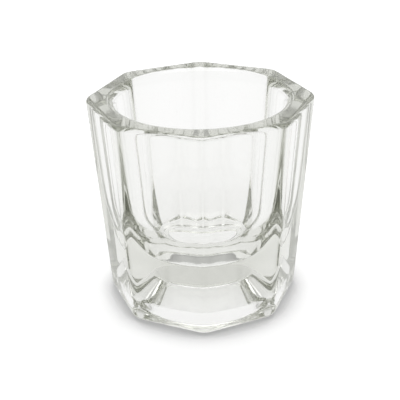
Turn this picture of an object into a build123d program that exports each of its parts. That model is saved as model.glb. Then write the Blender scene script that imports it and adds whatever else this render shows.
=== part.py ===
"""Eight-sided pressed-glass dappen dish: a small thick-walled cup for nail liquid or powder.

The dish is one moulded piece of glass. Outside it is an eight-sided block that narrows
towards the foot; inside is a round well with a bowl-shaped bottom, and the foot is hollowed
from below so that the dish stands on a ring. Millimetres, +Z up, origin at the middle of
the foot, with one corner of the octagon towards -Y.
"""
from build123d import *
import math
import os

# ---- driving dimensions -----------------------------------------------------------------

# outside
side_count = 8               # flat sides round the dish
height = 32.0                # foot to rim
top_across_flats = 31.05     # over two opposite flats, at the rim
foot_across_flats = 27.15    # over two opposite flats, at the foot
corner_radius = 2.55         # rounding of the upright corners
rim_outer_radius = 0.65      # rounding of the rim's outer edge
foot_edge_radius = 1.25      # rounding of the foot's outer edge

# well
rim_wall = 3.1               # glass between the well's mouth and a flat, at the rim
rim_inner_radius = 1.3       # rounding of the well's mouth
well_depth = 23.0            # rim to the middle of the well's floor
waist_depth = 17.5           # rim to where the straight upper wall turns in to the bowl
waist_narrowing = 1.35       # how much smaller the well's radius is at the waist than at the mouth
waist_blend = 10.0           # radius of the bend there
floor_diameter = 13.7        # floor of the well, measured at its corner
floor_blend = 2.7            # rounding between the floor and the bowl

# hollow under the foot
hollow_depth = 5.4           # foot to the hollow's ceiling
foot_ring_width = 4.15       # ring that the dish stands on, measured at a flat
hollow_narrowing = 4.0       # how much smaller the hollow's radius is at its ceiling than at the foot
shoulder_height = 1.7        # foot to where the hollow's steep side turns in to its slope
shoulder_narrowing = 0.25    # how much smaller the hollow's radius is there than at the foot
shoulder_blend = 1.5         # radius of the bend there
hollow_mouth_radius = 0.85   # rounding of the ring's inner edge
hollow_ceiling_radius = 0.7  # rounding round the ceiling

# ---- worked-out sizes -------------------------------------------------------------------

mouth_r = top_across_flats / 2 - rim_wall
waist_r = mouth_r - waist_narrowing
floor_r = floor_diameter / 2
waist_z = height - waist_depth
floor_z = height - well_depth
hollow_r = foot_across_flats / 2 - foot_ring_width
shoulder_r = hollow_r - shoulder_narrowing
ceiling_r = hollow_r - hollow_narrowing

on_axis = 1e-6               # a circle's middle is on the dish's axis when it is nearer than this


def smooth_line(start, *bends, end):
    """A line from start to end through (corner, radius) bends.

    A bend takes half of the shorter line beside it at most, and is tightened where it would take more.
    """
    corners = [start, *(corner for corner, _ in bends), end]
    radii = []
    for before, (corner, radius), after in zip(corners, bends, corners[2:]):
        to_before = Vector(*before) - Vector(*corner)
        to_after = Vector(*after) - Vector(*corner)
        half_angle = math.radians(to_before.get_angle(to_after)) / 2
        room = min(to_before.length, to_after.length) / 2
        radii.append(min(radius, room * math.tan(half_angle)))
    return FilletPolyline(*corners, radius=radii)


def turned(profile):
    """The solid of a profile in (radius, height) pairs, turned about the dish's axis."""
    face = Plane.XZ * make_face(profile)
    return revolve(face, axis=Axis.Z)


def octagon(across_flats, z):
    """The outline of the dish at one height, with a corner towards -Y."""
    return Plane.XY.offset(z) * RegularPolygon(across_flats / 2, side_count, major_radius=False)


def glass_block():
    """The solid eight-sided outside, with its edges rounded."""
    block = loft([octagon(foot_across_flats, 0), octagon(top_across_flats, height)])
    foot, *_, top = block.faces().sort_by(Axis.Z)
    uprights = block.edges() - foot.edges() - top.edges()
    block = fillet(uprights, corner_radius)
    block = fillet(block.faces().sort_by(Axis.Z)[-1].outer_wire().edges(), rim_outer_radius)
    return fillet(block.faces().sort_by(Axis.Z)[0].outer_wire().edges(), foot_edge_radius)


def well():
    """What is taken out from above: a cone, a bowl and a flat floor."""
    mouth, waist = (mouth_r, height), (waist_r, waist_z)
    floor_corner, floor_middle = (floor_r, floor_z), (0, floor_z)
    wall = smooth_line(mouth, (waist, waist_blend), (floor_corner, floor_blend), end=floor_middle)
    return turned(wall + Polyline(floor_middle, (0, height), mouth))


def foot_hollow():
    """What is taken out from below: a steep side, a slope and a flat ceiling."""
    mouth, shoulder = (hollow_r, 0), (shoulder_r, shoulder_height)
    ceiling_corner, ceiling_middle = (ceiling_r, hollow_depth), (0, hollow_depth)
    wall = smooth_line(mouth, (shoulder, shoulder_blend), (ceiling_corner, hollow_ceiling_radius),
                       end=ceiling_middle)
    return turned(wall + Polyline(ceiling_middle, (0, 0), mouth))


def round_edges_at(solid, z):
    """The circles round the dish's axis at one height."""
    circles = solid.edges().filter_by(GeomType.CIRCLE).filter_by_position(Axis.Z, z, z)
    return circles.filter_by(lambda edge: abs(edge.arc_center.X) + abs(edge.arc_center.Y) < on_axis)


def glass_dish():
    """The whole dish."""
    dish = glass_block() - well() - foot_hollow()
    dish = fillet(round_edges_at(dish, height), rim_inner_radius)
    dish = fillet(round_edges_at(dish, 0), hollow_mouth_radius)
    dish.label = "glass_dish"
    return dish


os.makedirs("parts", exist_ok=True)
export_step(glass_dish(), "parts/glass_dish.step")
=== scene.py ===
"""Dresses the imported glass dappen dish: the pressed glass, the white table under it and the light."""
import math

import bpy
from bpy.props import FloatProperty, FloatVectorProperty, IntProperty, PointerProperty
from bpy.types import Operator, Panel, PropertyGroup
from mathutils import Matrix, Vector


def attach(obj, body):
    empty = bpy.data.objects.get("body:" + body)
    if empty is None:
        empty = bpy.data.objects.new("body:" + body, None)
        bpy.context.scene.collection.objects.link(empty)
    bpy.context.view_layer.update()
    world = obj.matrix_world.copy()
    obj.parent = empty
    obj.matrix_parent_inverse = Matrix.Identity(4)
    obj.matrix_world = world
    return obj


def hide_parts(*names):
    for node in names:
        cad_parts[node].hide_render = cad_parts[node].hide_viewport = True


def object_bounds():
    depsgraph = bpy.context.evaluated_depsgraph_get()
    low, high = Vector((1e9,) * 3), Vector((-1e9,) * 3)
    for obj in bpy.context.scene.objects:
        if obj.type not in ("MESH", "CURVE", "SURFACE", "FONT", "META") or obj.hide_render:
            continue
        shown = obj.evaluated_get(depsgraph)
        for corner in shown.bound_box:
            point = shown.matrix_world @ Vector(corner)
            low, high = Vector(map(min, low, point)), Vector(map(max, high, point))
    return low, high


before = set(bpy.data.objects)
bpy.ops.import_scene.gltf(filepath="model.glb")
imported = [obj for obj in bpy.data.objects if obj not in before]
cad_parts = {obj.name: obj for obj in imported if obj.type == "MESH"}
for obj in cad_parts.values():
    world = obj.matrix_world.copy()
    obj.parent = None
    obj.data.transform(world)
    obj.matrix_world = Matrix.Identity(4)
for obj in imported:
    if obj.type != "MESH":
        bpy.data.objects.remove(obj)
CAD_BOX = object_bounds()

bl_info = {
    "name": "Glass Dappen Dish",
    "version": (1, 0, 0),
    "blender": (4, 5, 0),
    "location": "3D View > Sidebar > Dappen Dish",
    "description": "Makes an eight-sided pressed-glass dappen dish and the table that it stands on",
    "category": "Add Mesh",
}

MM = 0.001
SIDES = 8
HALF_SIDE = math.pi / SIDES         # angle from a corner of the octagon to the middle of a flat
ROUNDEST = 0.9                      # most of the octagon's half width that a corner's rounding takes
SEAM = 1e-7                         # points of the mesh closer together than this are one point
BACK_WALL = (0.2, 0.6)              # backward part of a direction at which it begins, and is full
TABLE_HALF = 1500 * MM              # half the width of the table top
TABLE_GAP = 0.02 * MM               # how far the table top lies under the foot
CONTACT_SAMPLES = 8                 # rays that look for the dish from each spot on the table
SENSOR_WIDTH = 36.0                 # the camera's sensor, in millimetres
LIGHT_BOUNCES = 32                  # thick glass hands the light on many times before it is spent


# ---- node trees ---------------------------------------------------------------------------

class Wire:
    """An output socket. Sums on wires add Math nodes to the wire's tree."""

    def __init__(self, tree, socket):
        self.tree = tree
        self.socket = socket

    def maths(self, operation, *values):
        return self.tree.node("ShaderNodeMath", {"operation": operation}, values)

    def __add__(self, other):
        return self.maths("ADD", self, other)

    def __radd__(self, other):
        return self.maths("ADD", other, self)

    def __sub__(self, other):
        return self.maths("SUBTRACT", self, other)

    def __rsub__(self, other):
        return self.maths("SUBTRACT", other, self)

    def __mul__(self, other):
        return self.maths("MULTIPLY", self, other)

    def __rmul__(self, other):
        return self.maths("MULTIPLY", other, self)

    def __truediv__(self, other):
        return self.maths("DIVIDE", self, other)

    def __lt__(self, other):
        return self.maths("LESS_THAN", self, other)

    def __abs__(self):
        return self.maths("ABSOLUTE", self)

    def at_least(self, other):
        return self.maths("MAXIMUM", self, other)

    def at_most(self, other):
        return self.maths("MINIMUM", self, other)

    def floor(self):
        return self.maths("FLOOR", self)

    def step(self, start, end):
        """0 up to start, 1 from end on, and a smooth step between them."""
        return self.tree.node("ShaderNodeMapRange", {"interpolation_type": "SMOOTHSTEP"},
                              {"Value": self, "From Min": start, "From Max": end})

    def sine(self):
        return self.maths("SINE", self)

    def cosine(self):
        return self.maths("COSINE", self)

    def angle_over(self, other):
        """The angle whose tangent is this over other."""
        return self.maths("ARCTAN2", self, other)

    def root(self):
        return self.maths("SQRT", self.at_least(0.0))

    def power(self, other):
        return self.maths("POWER", self, other)


class Tree:
    """A node tree that is filled in by calls."""

    def __init__(self, tree):
        self.tree = tree
        tree.nodes.clear()

    def node(self, kind, settings=None, values=(), output=0):
        """Adds a node: its settings first, then what its sockets hold or are linked to.

        values is a list in the sockets' order, or a dict by the sockets' names.
        """
        made = self.tree.nodes.new(kind)
        for name, setting in (settings or {}).items():
            if name == "choices":
                self.set_choices(made, setting)
            else:
                setattr(made, name, setting)
        pairs = values.items() if isinstance(values, dict) else enumerate(values)
        for key, value in pairs:
            self.fill(made.inputs[key], value)
        if len(made.outputs) == 0:
            return None
        return Wire(self, made.outputs[output])

    def fill(self, socket, value):
        if isinstance(value, Wire):
            self.tree.links.new(value.socket, socket)
        else:
            socket.default_value = value

    def beside(self, wire, output):
        """Another output of the node that a wire comes from."""
        return Wire(self, wire.socket.node.outputs[output])

    def set_choices(self, node, count):
        while len(node.index_switch_items) < count:
            node.index_switch_items.new()


# ---- sizes and looks ----------------------------------------------------------------------

def length(name, millimetres, description, least=0.0):
    """A length that the user can set, held in metres."""
    return FloatProperty(name=name, description=description, default=millimetres * MM, min=least * MM,
                         unit="LENGTH", subtype="DISTANCE", precision=5)


def angle(name, degrees, description):
    """An angle that the user can set, held in radians."""
    return FloatProperty(name=name, description=description, default=math.radians(degrees),
                         subtype="ANGLE")


def brightness(name, default, description):
    """How bright something looks: 1 is white."""
    return FloatProperty(name=name, description=description, default=default, min=0.0, soft_max=2.0)


class DishSizes(PropertyGroup):
    """The sizes of the dish."""

    height: length("Height", (CAD_BOX[1] - CAD_BOX[0]).z / MM, "Foot to rim")
    top_across_flats: length("Top across flats", 31.05, "Over two opposite flats, at the rim")
    foot_across_flats: length("Foot across flats", 27.15, "Over two opposite flats, at the foot")
    corner_radius: length("Corner radius", 2.55, "Rounding of the upright corners")
    rim_outer_radius: length("Rim outer radius", 0.65, "Rounding of the rim's outer edge")
    foot_edge_radius: length("Foot edge radius", 1.25, "Rounding of the foot's outer edge")
    rim_wall: length("Rim wall", 3.1, "Glass between the well's mouth and a flat")
    rim_inner_radius: length("Rim inner radius", 1.3, "Rounding of the well's mouth")
    well_depth: length("Well depth", 23.0, "Rim to the well's floor")
    waist_depth: length("Waist depth", 17.5, "Rim to where the wall turns in to the bowl")
    waist_narrowing: length("Waist narrowing", 1.35, "How much less the well's radius is at its waist")
    waist_blend: length("Waist blend", 10.0, "Radius of the bend at the waist")
    floor_diameter: length("Floor diameter", 13.7, "Across the well's floor, before its rounding")
    floor_blend: length("Floor blend", 2.7, "Rounding between the floor and the bowl")
    hollow_depth: length("Hollow depth", 5.4, "Foot to the ceiling of the hollow under it")
    foot_ring_width: length("Foot ring width", 4.15, "Ring that the dish stands on, at a flat")
    hollow_narrowing: length("Hollow narrowing", 4.0, "How much less its radius is at its ceiling")
    shoulder_height: length("Shoulder height", 1.7, "Foot to where the hollow's side turns to its slope")
    shoulder_narrowing: length("Shoulder narrowing", 0.25, "How much less its radius is at that bend")
    shoulder_blend: length("Shoulder blend", 1.5, "Radius of that bend")
    hollow_mouth_radius: length("Hollow mouth radius", 0.85, "Rounding of the ring's inner edge")
    hollow_ceiling_radius: length("Hollow ceiling radius", 0.7, "Rounding round the hollow's ceiling")
    station_spacing: length("Station spacing", 0.8, "Longest step along the dish's profile")
    bend_steps: IntProperty(name="Bend steps", description="Steps round each rounding of the profile",
                            default=8, min=2, max=24)
    side_steps: IntProperty(name="Side steps", description="Steps from one flat's middle to the next",
                            default=40, min=8, max=64)
    corner_crowding: FloatProperty(name="Corner crowding",
                                   description="How closely the steps crowd towards the corners",
                                   default=0.88, min=0.0, max=0.95, subtype="FACTOR")


class GlassLook(PropertyGroup):
    """The finish of the pressed glass."""

    refraction: FloatProperty(name="Refraction", description="Index of refraction of soda-lime glass",
                              default=1.52, min=1.0, max=2.0)
    cast: FloatVectorProperty(name="Cast", description="Colour that thick glass takes on", size=3,
                              default=(0.8, 0.806, 0.769), min=0.0, max=1.0, subtype="COLOR")
    cast_density: FloatProperty(name="Cast density", description="How fast the glass takes on its cast",
                                default=60.0, min=0.0)
    ripple_height: length("Ripple height", 0.004, "Height of the ripples that the mould leaves")
    ripple_scale: FloatProperty(name="Ripple scale", description="Ripples to a metre",
                                default=260.0, min=0.0)
    roughness: FloatProperty(name="Roughness", description="Roughness on the ripples' crests",
                             default=0.01, min=0.0, max=1.0, subtype="FACTOR")


class TableLook(PropertyGroup):
    """The table, its light and the camera."""

    table_white: brightness("Table white", 1.0, "How white the table top is")
    table_lift: brightness("Table lift", 0.26, "What lifts the table to white where the camera sees it")
    # painted contact shade: the table's colour darkens beside the foot, where the dish hides the sky
    painted_shade_reach: length("Contact shade reach", 3.9, "How far the shade beside the foot reaches")
    painted_shade_depth: FloatProperty(name="Contact shade depth",
                                 description="How dark that shade is where the foot meets the table",
                                 default=0.6, min=0.0, max=1.0, subtype="FACTOR")
    painted_shade_fall: FloatProperty(name="Contact shade fall",
                                description="How fast that shade fades away from the foot",
                                default=2.1, min=0.1)
    glass_share: FloatProperty(name="Shade in glass",
                               description="How much of the table's light and shade shows in the glass",
                               default=0.08, min=0.0, max=1.0, subtype="FACTOR")
    # painted pool of light: the table glows brighter near the dish where it shows in the glass
    painted_pool_light: brightness("Pool lift", 0.94, "What lifts the table near the dish, seen in the glass")
    far_lift: brightness("Far lift", 0.5, "What lifts the table farther out, seen in the glass")
    painted_pool_reach: length("Pool reach", 180.0, "How far from the middle the pool lift reaches")
    wall_light: brightness("Wall light", 0.64, "Brightness of the walls in front and at the sides")
    back_light: brightness("Back light", 0.93, "Brightness of the wall behind the dish")
    low_light: brightness("Low light", 0.45, "Brightness of the walls in front and at the sides, low down")
    low_reach: angle("Low light reach", 10.0, "How far up from the table the low light reaches")
    lamp_light: brightness("Lamp light", 2.0, "Brightness of the wide lamp overhead")
    lamp_reach: angle("Lamp reach", 26.0, "How far the lamp reaches from straight overhead")
    edge_softness: FloatProperty(name="Edge softness",
                                 description="How soft the lamp's and the pool's edges are",
                                 default=0.2, min=0.01, max=1.0, subtype="FACTOR")
    camera_distance: length("Camera distance", 129.4, "Camera to the point that it looks at")
    camera_height: length("Camera target height", 15.0, "Height of the point that the camera looks at")
    camera_side: length("Camera target side", -0.3, "How far that point lies to the right", least=-50.0)
    camera_turn: angle("Camera turn", -0.1, "How far the camera stands round to the right")
    camera_tilt: angle("Camera tilt", 26.5, "How far the camera looks down")
    camera_roll: angle("Camera roll", -1.03, "How far the camera leans to the right")
    camera_lens: FloatProperty(name="Camera lens", description="Focal length on a 36 mm wide sensor",
                               default=75.8, min=1.0, unit="CAMERA")


# ---- the dish -----------------------------------------------------------------------------

def size_names():
    """The dish's sizes, each with the name that its socket carries."""
    return {key: DishSizes.bl_rna.properties[key].name for key in DishSizes.__annotations__}


def shape_inputs(tree):
    """Gives the tree one named input for each size, and returns the wires from them."""
    for key, name in size_names().items():
        kind = DishSizes.bl_rna.properties[key].type
        socket = "NodeSocketInt" if kind == "INT" else "NodeSocketFloat"
        tree.tree.interface.new_socket(name, in_out="INPUT", socket_type=socket)
    tree.tree.interface.new_socket("Dish", in_out="OUTPUT", socket_type="NodeSocketGeometry")
    source = tree.node("NodeGroupInput")
    return {key: tree.beside(source, name) for key, name in size_names().items()}


def profile_corners(size):
    """The corners of the dish's profile before they are rounded: radius, height and rounding."""
    mouth = size["top_across_flats"] / 2 - size["rim_wall"]
    hollow = size["foot_across_flats"] / 2 - size["foot_ring_width"]
    waist_z = size["height"] - size["waist_depth"]
    floor_z = size["height"] - size["well_depth"]
    return {
        "ceiling middle": (0.0, size["hollow_depth"], 0.0),
        "ceiling": (hollow - size["hollow_narrowing"], size["hollow_depth"], size["hollow_ceiling_radius"]),
        "shoulder": (hollow - size["shoulder_narrowing"], size["shoulder_height"], size["shoulder_blend"]),
        "hollow mouth": (hollow, 0.0, size["hollow_mouth_radius"]),
        "foot": (size["foot_across_flats"] / 2, 0.0, size["foot_edge_radius"]),
        "rim": (size["top_across_flats"] / 2, size["height"], size["rim_outer_radius"]),
        "well mouth": (mouth, size["height"], size["rim_inner_radius"]),
        "waist": (mouth - size["waist_narrowing"], waist_z, size["waist_blend"]),
        "floor": (size["floor_diameter"] / 2, floor_z, size["floor_blend"]),
        "floor middle": (0.0, floor_z, 0.0),
    }


def profile(tree, size):
    """The dish's outline from the hollow's middle, over the rim, to the middle of the well's floor.

    Its points carry how eight-sided the dish is there: 1 on the outside, 0 in the round hollows.
    """
    corners = profile_corners(size)
    index = tree.node("GeometryNodeInputIndex")
    places = [tree.node("ShaderNodeCombineXYZ", None, {"X": radius, "Z": height})
              for radius, height, _ in corners.values()]
    place = tree.node("GeometryNodeIndexSwitch", {"data_type": "VECTOR", "choices": len(corners)},
                      [index, *places])
    rounding = tree.node("GeometryNodeIndexSwitch", {"data_type": "FLOAT", "choices": len(corners)},
                         [index, *(radius for _, _, radius in corners.values())])
    foot, rim = list(corners).index("foot"), list(corners).index("rim")
    outside = abs(index - (foot + rim) / 2) < 1.0
    line = tree.node("GeometryNodeMeshLine", None, {"Count": len(corners)})
    line = tree.node("GeometryNodeMeshToCurve", None, {"Mesh": line})
    line = tree.node("GeometryNodeSetPosition", None, {"Geometry": line, "Position": place})
    line = tree.node("GeometryNodeStoreNamedAttribute", {"data_type": "FLOAT", "domain": "POINT"},
                     {"Geometry": line, "Name": "eight_sided", "Value": outside})
    line = tree.node("GeometryNodeFilletCurve", {"mode": "POLY"},
                     {"Curve": line, "Count": size["bend_steps"], "Radius": rounding,
                      "Limit Radius": True})
    here = tree.node("GeometryNodeInputPosition")
    index = tree.node("GeometryNodeInputIndex")
    after = tree.node("GeometryNodeFieldAtIndex", {"data_type": "FLOAT_VECTOR", "domain": "POINT"},
                      {"Index": index + 1, "Value": here})
    gap = tree.node("ShaderNodeVectorMath", {"operation": "DISTANCE"}, [here, after], "Value")
    line = tree.node("GeometryNodeSubdivideCurve", None,
                     {"Curve": line, "Cuts": (gap / size["station_spacing"]).floor()})
    return tree.node("GeometryNodeCurveToMesh", None, {"Curve": line})


def octagon_radius(size, half_width, bearing):
    """Distance from the axis to an octagon with rounded corners, at a bearing from a corner."""
    rounding = size["corner_radius"].at_most(half_width * ROUNDEST)
    centre = (half_width - rounding) / math.cos(HALF_SIDE)
    off_line = centre * bearing.sine()
    corner = centre * bearing.cosine() + (rounding * rounding - off_line * off_line).root()
    flat = half_width / (HALF_SIDE - abs(bearing)).cosine()
    corner_end = centre + rounding * math.cos(HALF_SIDE)
    reach = (rounding * math.sin(HALF_SIDE)).angle_over(corner_end)
    return flat + (corner - flat) * (abs(bearing) < reach)


def dish_tree(material):
    """The node tree that turns the profile about the axis and presses the outside to an octagon."""
    tree = Tree(bpy.data.node_groups.new("Dappen dish", "GeometryNodeTree"))
    size = shape_inputs(tree)
    outline = profile(tree, size)
    count = tree.node("GeometryNodeAttributeDomainSize", {"component": "MESH"}, [outline])
    grid = tree.node("GeometryNodeMeshGrid", None,
                     {"Size X": 1.0, "Size Y": 1.0, "Vertices X": size["side_steps"] * SIDES + 1,
                      "Vertices Y": count})
    spot = tree.node("ShaderNodeSeparateXYZ", None, [tree.beside(grid, "UV Map")])
    station = (tree.beside(spot, "Y") * (count - 1) + 0.5).floor()
    place = tree.node("GeometryNodeSampleIndex", {"data_type": "FLOAT_VECTOR", "domain": "POINT"},
                      {"Geometry": outline, "Value": tree.node("GeometryNodeInputPosition"),
                       "Index": station})
    marked = tree.node("GeometryNodeInputNamedAttribute", {"data_type": "FLOAT"}, ["eight_sided"])
    marked = tree.node("GeometryNodeSampleIndex", {"data_type": "FLOAT", "domain": "POINT"},
                       {"Geometry": outline, "Value": marked, "Index": station})
    outside = marked.step(0.0, 1.0)
    place = tree.node("ShaderNodeSeparateXYZ", None, [place])
    radius, level = place, tree.beside(place, "Z")

    turn = spot * SIDES
    side = turn.floor()
    share = (turn - side) * 2 - 1   # -1 and 1 in the middle of two flats, 0 at the corner between them
    crowding = size["corner_crowding"]
    bearing = HALF_SIDE * (crowding * share * share * share + (1 - crowding) * share)
    reach = radius + (octagon_radius(size, radius, bearing) - radius) * outside
    round_axis = bearing + side * (2 * HALF_SIDE) - math.pi / 2
    spread = tree.node("ShaderNodeCombineXYZ", None,
                       [reach * round_axis.cosine(), reach * round_axis.sine(), level])
    dish = tree.node("GeometryNodeSetPosition", None, {"Geometry": grid, "Position": spread})
    dish = tree.node("GeometryNodeMergeByDistance", None, {"Geometry": dish, "Distance": SEAM})
    dish = tree.node("GeometryNodeSetShadeSmooth", None, {"Geometry": dish})
    dish = tree.node("GeometryNodeRealizeInstances", None, {"Geometry": dish})
    dish = tree.node("GeometryNodeSetMaterial", None, {"Geometry": dish, "Material": material})
    tree.node("NodeGroupOutput", None, [dish])
    return tree.tree


def shaped_dish(sizes, material):
    """The dish as a plain mesh object."""
    shape = dish_tree(material)
    holder = bpy.data.objects.new("dish_shape", bpy.data.meshes.new("dish_shape"))
    bpy.context.scene.collection.objects.link(holder)
    modifier = holder.modifiers.new("Dish shape", "NODES")
    modifier.node_group = shape
    sockets = {item.name: item.identifier for item in shape.interface.items_tree if item.in_out == "INPUT"}
    for key, name in size_names().items():
        modifier[sockets[name]] = getattr(sizes, key)
    finished = holder.evaluated_get(bpy.context.evaluated_depsgraph_get())
    mesh = bpy.data.meshes.new_from_object(finished)
    holder.modifiers.remove(modifier)
    bpy.data.objects.remove(holder)
    mesh.name = "glass_dish_shape"
    dish = bpy.data.objects.new("pressed_glass_dish", mesh)
    bpy.context.scene.collection.objects.link(dish)
    return dish


def pressed_glass(look):
    """Clear glass with a faint grey-green cast and the slight ripples of a mould."""
    material = bpy.data.materials.new("pressed_glass")
    material.use_nodes = True
    tree = Tree(material.node_tree)
    spot = tree.beside(tree.node("ShaderNodeTexCoord"), "Object")
    ripple = tree.node("ShaderNodeTexNoise", {"noise_dimensions": "3D"},
                       {"Vector": spot, "Scale": look.ripple_scale, "Detail": 1.0, "Roughness": 0.4})
    bump = tree.node("ShaderNodeBump", None,
                     {"Strength": 1.0, "Distance": look.ripple_height, "Height": ripple})
    surface = tree.node("ShaderNodeBsdfPrincipled", None, {
        "Base Color": (1.0, 1.0, 1.0, 1.0),
        "Roughness": ripple * look.roughness,
        "IOR": look.refraction,
        "Transmission Weight": 1.0,
        "Normal": bump,
    })
    inside = tree.node("ShaderNodeVolumeAbsorption", None,
                       {"Color": (*look.cast, 1.0), "Density": look.cast_density})
    tree.node("ShaderNodeOutputMaterial", None, {"Surface": surface, "Volume": inside})
    return material


# ---- the table and the light --------------------------------------------------------------

def ray_masks(tree):
    """1 for rays from the camera and 0 for the rest; then the same for rays from the glass."""
    camera = tree.node("ShaderNodeLightPath")
    reflected, refracted = tree.beside(camera, "Is Glossy Ray"), tree.beside(camera, "Is Transmission Ray")
    return camera, reflected.at_least(refracted)


def table_material(look):
    """White table top that glows up to white where the camera sees it and keeps its real shadow; its colour
    is darkened beside the foot as a painted contact shade, and it glows as a painted pool of light round
    the dish where it shows in the glass.
    """
    material = bpy.data.materials.new("white_table")
    material.use_nodes = True
    tree = Tree(material.node_tree)
    seen, in_glass = ray_masks(tree)
    spot = tree.beside(tree.node("ShaderNodeTexCoord"), "Object")
    # painted pool of light: where it shows in the glass, the table glows brighter near the dish and dimmer
    # farther out
    away = tree.node("ShaderNodeVectorMath", {"operation": "LENGTH"}, [spot], "Value")
    beyond = away.step(look.painted_pool_reach * (1 - look.edge_softness),
                       look.painted_pool_reach * (1 + look.edge_softness))
    painted_pool_glow = look.painted_pool_light + beyond * (look.far_lift - look.painted_pool_light)
    # painted shade beside the foot: how much sky the dish hides darkens the table's own colour
    clear_sky = tree.beside(tree.node("ShaderNodeAmbientOcclusion", {"samples": CONTACT_SAMPLES},
                                      {"Distance": look.painted_shade_reach}), "AO")
    # painted contact shade: beside a wall the table sees half of the sky, so twice the hidden share runs
    # from 0 to 1, and it darkens the table's colour
    hidden = (2 * (1 - clear_sky)).at_least(0.0).at_most(1.0)
    painted_contact_shade = 1 - look.painted_shade_depth * hidden.power(look.painted_shade_fall)
    surface = tree.node("ShaderNodeBsdfPrincipled", None, {
        # for the camera the table's colour carries the painted contact shade; in the glass only a share of
        # its colour shows
        "Base Color": look.table_white * (painted_contact_shade * (1 - in_glass) + look.glass_share * in_glass),
        "Roughness": 1.0,
        "Specular IOR Level": 0.0,
        # the glow lifts the table to white for the camera and paints a pool of light round the dish in the
        # glass
        "Emission Color": seen * look.table_lift + in_glass * painted_pool_glow,
        "Emission Strength": 1.0,
    })
    tree.node("ShaderNodeOutputMaterial", None, {"Surface": surface})
    return material


def table_top(look):
    """A wide flat table top just under the foot."""
    quarters = ((-1, -1), (1, -1), (1, 1), (-1, 1))
    corners = [(TABLE_HALF * x, TABLE_HALF * y, -TABLE_GAP) for x, y in quarters]
    mesh = bpy.data.meshes.new("table_top")
    mesh.from_pydata(corners, [], [(0, 1, 2, 3)])
    mesh.materials.append(table_material(look))
    table = bpy.data.objects.new("table_top", mesh)
    bpy.context.scene.collection.objects.link(table)
    return table


def studio_world(look):
    """Plain soft walls, brighter behind the dish and dimmer low down, and a wide lamp overhead."""
    world = bpy.data.worlds.new("studio")
    world.use_nodes = True
    bpy.context.scene.world = world
    tree = Tree(world.node_tree)
    direction = tree.beside(tree.node("ShaderNodeTexCoord"), "Generated")
    parts = tree.node("ShaderNodeSeparateXYZ", None, [direction])
    backward, rise = tree.beside(parts, "Y"), tree.beside(parts, "Z")
    low = 1 - rise.step(0.0, math.sin(look.low_reach))
    behind = backward.step(*BACK_WALL)
    overhead = rise.step(math.cos(look.lamp_reach * (1 + look.edge_softness)),
                         math.cos(look.lamp_reach * (1 - look.edge_softness)))
    room = look.wall_light + low * (look.low_light - look.wall_light)
    room = room + behind * (look.back_light - room)
    room = room + overhead * (look.lamp_light - room)
    seen, _ = ray_masks(tree)
    shown = seen + (1 - seen) * room
    tree.node("ShaderNodeOutputWorld", None, [tree.node("ShaderNodeBackground", None, [shown, 1.0])])


def stage_camera(look):
    """Looks down on a corner of the dish from in front."""
    lens = bpy.data.cameras.new("camera")
    lens.sensor_width = SENSOR_WIDTH
    lens.lens = look.camera_lens
    lens.clip_start = MM
    camera = bpy.data.objects.new("camera", lens)
    bpy.context.scene.collection.objects.link(camera)
    bpy.context.scene.camera = camera
    back = Vector((0.0, -math.cos(look.camera_tilt), math.sin(look.camera_tilt)))
    up = Vector((0.0, math.sin(look.camera_tilt), math.cos(look.camera_tilt)))
    right = Vector((1.0, 0.0, 0.0))
    lean = Matrix.Rotation(look.camera_roll, 3, back)
    place = Matrix((lean @ right, lean @ up, back)).transposed().to_4x4()
    place.translation = Vector((look.camera_side, 0.0, look.camera_height)) + back * look.camera_distance
    camera.matrix_world = Matrix.Rotation(look.camera_turn, 4, "Z") @ place


# ---- operators and panel ------------------------------------------------------------------

class DAPPEN_OT_dish(Operator):
    """Makes the pressed-glass dish"""

    bl_idname = "dappen.dish"
    bl_label = "Make Glass Dish"

    def execute(self, context):
        scene = context.scene
        dish = shaped_dish(scene.dish_sizes, pressed_glass(scene.glass_look))
        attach(dish, "root")
        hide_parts("glass_dish")
        return {"FINISHED"}


class DAPPEN_OT_stage(Operator):
    """Lays the white table, lights it and sets the camera"""

    bl_idname = "dappen.stage"
    bl_label = "Set Table, Light and Camera"

    def execute(self, context):
        look = context.scene.table_look
        table_top(look)
        studio_world(look)
        stage_camera(look)
        context.scene.view_settings.view_transform = "Standard"
        context.scene.cycles.max_bounces = LIGHT_BOUNCES
        context.scene.cycles.transmission_bounces = LIGHT_BOUNCES
        context.scene.cycles.glossy_bounces = LIGHT_BOUNCES
        return {"FINISHED"}


class DAPPEN_PT_panel(Panel):
    """Sizes, finish and buttons"""

    bl_label = "Dappen Dish"
    bl_space_type = "VIEW_3D"
    bl_region_type = "UI"
    bl_category = "Dappen Dish"

    def draw(self, context):
        for group in (context.scene.dish_sizes, context.scene.glass_look, context.scene.table_look):
            for key in group.__annotations__:
                self.layout.prop(group, key)
        self.layout.operator(DAPPEN_OT_stage.bl_idname)
        self.layout.operator(DAPPEN_OT_dish.bl_idname)


CLASSES = (DishSizes, GlassLook, TableLook, DAPPEN_OT_dish, DAPPEN_OT_stage, DAPPEN_PT_panel)


def register():
    for cls in CLASSES:
        bpy.utils.register_class(cls)
    bpy.types.Scene.dish_sizes = PointerProperty(type=DishSizes)
    bpy.types.Scene.glass_look = PointerProperty(type=GlassLook)
    bpy.types.Scene.table_look = PointerProperty(type=TableLook)


def unregister():
    del bpy.types.Scene.table_look
    del bpy.types.Scene.glass_look
    del bpy.types.Scene.dish_sizes
    for cls in reversed(CLASSES):
        bpy.utils.unregister_class(cls)


def main():
    register()
    bpy.ops.dappen.stage()
    bpy.ops.dappen.dish()


if __name__ == "__main__":
    main()
